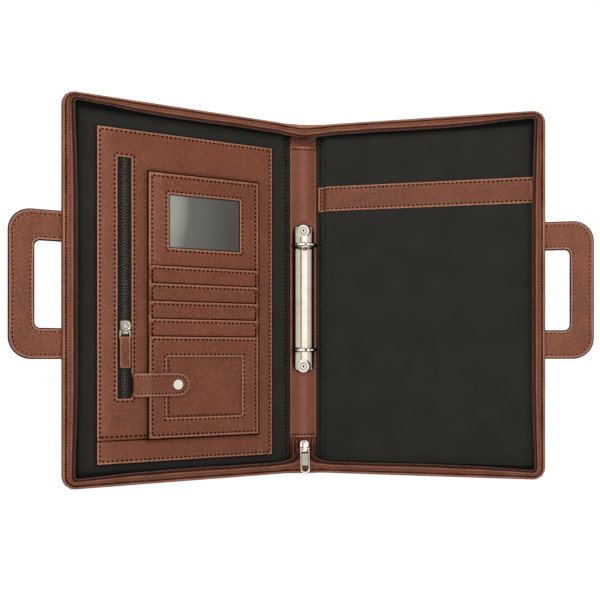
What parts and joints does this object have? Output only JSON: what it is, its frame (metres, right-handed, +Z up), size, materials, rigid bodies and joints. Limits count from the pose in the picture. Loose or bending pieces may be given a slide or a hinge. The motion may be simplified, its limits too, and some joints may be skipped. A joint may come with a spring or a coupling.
{
  "type": "portfolio case",
  "caption": "Zip-around leather portfolio case standing open, with slide-out carry handles, ring binder, stitched organizer pockets and a pad pocket.",
  "frame": {"origin": "bottom centre of the spine's outer face, on the plane the case stands on", "axes": "+Z up along the spine, +X to the right seen from inside the open case, -Y out of the open inside"},
  "size_m": [0.5538, 0.0918, 0.366],
  "materials": {
    "leather": "pebble-grained, satin",
    "handle_leather": "pebble-grained, satin, stitched edge",
    "board": "stiff grey board",
    "foam": "soft dark foam",
    "lining": "matt fine weave",
    "zip_tape_brown": "woven tape",
    "zip_teeth_brown": "nylon coil",
    "zip_tape_black": "woven tape",
    "zip_teeth_black": "nylon coil",
    "nickel": "polished nickel plate",
    "window": "clear vinyl over a dark backing"
  },
  "bodies": {
    "spine": {"spine_skin": "leather", "spine_board": "board", "spine_strip": "leather", "left_fold_leather": "leather", "right_fold_leather": "leather", "top_rim_bridge": "leather", "zip_tail": "zip_tape_brown", "ring_dome": "nickel", "ring_rivets": "nickel", "zip_slider": "nickel"},
    "left_cover": {"left_cover_skin": "leather", "left_cover_pad": "foam", "left_cover_board": "board", "left_lining": "lining", "left_rim": "leather", "left_zip_tape": "zip_tape_brown", "left_zip_teeth": "zip_teeth_brown", "organizer_backing": "lining", "organizer_panel": "leather", "organizer_zip_tape": "zip_tape_black", "organizer_zip_teeth": "zip_teeth_black", "card_panel": "leather", "id_window": "window", "card_slot_1": "leather", "card_slot_2": "leather", "card_slot_3": "leather", "card_slot_4": "leather", "card_pocket": "leather", "card_pocket_inset": "leather", "strap_anchor": "leather", "snap_stud": "nickel"},
    "right_cover": {"right_cover_skin": "leather", "right_cover_pad": "foam", "right_cover_board": "board", "right_lining": "lining", "right_rim": "leather", "right_zip_tape": "zip_tape_brown", "right_zip_teeth": "zip_teeth_brown", "pad_pocket": "lining", "pad_band": "leather"},
    "left_handle": {"left_handle_grip": "handle_leather", "left_handle_stop": "board"},
    "right_handle": {"right_handle_grip": "handle_leather", "right_handle_stop": "board"},
    "left_rings": {"left_half_rings": "nickel"},
    "right_rings": {"right_half_rings": "nickel"},
    "zip_pull": {"zip_pull_frame": "nickel", "zip_pull_insert": "nickel"},
    "organizer_slider": {"organizer_slider": "nickel"},
    "organizer_tab": {"organizer_tab_bail": "nickel", "organizer_tab": "leather"},
    "pocket_strap": {"pocket_strap": "leather", "snap_cap": "nickel", "snap_socket": "nickel"}
  },
  "joints": [
    {"name": "left_cover_fold", "type": "hinge", "parent": "spine", "child": "left_cover", "pos_m": [-0.021, -0.0012, 0.183], "axis": [0, 0, 1], "range_deg": [-18.9, 71.1]},
    {"name": "right_cover_fold", "type": "hinge", "parent": "spine", "child": "right_cover", "pos_m": [0.021, -0.0012, 0.183], "axis": [0, 0, -1], "range_deg": [-18.9, 71.1]},
    {"name": "left_handle_slide", "type": "slide", "parent": "left_cover", "child": "left_handle", "axis": [-0.9461, -0.3239, 0], "range_m": [-0.045, 0]},
    {"name": "right_handle_slide", "type": "slide", "parent": "right_cover", "child": "right_handle", "axis": [0.9461, -0.3239, 0], "range_m": [-0.045, 0]},
    {"name": "left_rings_open", "type": "hinge", "parent": "spine", "child": "left_rings", "pos_m": [-0.0071, -0.0062, 0.183], "axis": [0, 0, 1], "range_deg": [-20, 0]},
    {"name": "right_rings_open", "type": "hinge", "parent": "spine", "child": "right_rings", "pos_m": [0.0071, -0.0062, 0.183], "axis": [0, 0, 1], "range_deg": [0, 20]},
    {"name": "zip_pull_swing", "type": "hinge", "parent": "spine", "child": "zip_pull", "pos_m": [0, -0.0144, 0.0266], "axis": [1, 0, 0], "range_deg": [-135, 0]},
    {"name": "organizer_slider_travel", "type": "slide", "parent": "left_cover", "child": "organizer_slider", "axis": [0, 0, -1], "range_m": [-0.152, 0.058]},
    {"name": "organizer_tab_swing", "type": "hinge", "parent": "organizer_slider", "child": "organizer_tab", "pos_m": [-0.17686, -0.06386, 0.1458], "axis": [0.9461, 0.3239, 0], "range_deg": [-105, 0]},
    {"name": "pocket_strap_open", "type": "hinge", "parent": "left_cover", "child": "pocket_strap", "pos_m": [-0.16993, -0.06139, 0.095], "axis": [0, 0, 1], "range_deg": [-150, 0]}
  ],
  "couplings": [
    {"joint": "right_rings_open", "follows": "left_rings_open", "ratio": -1}
  ]
}
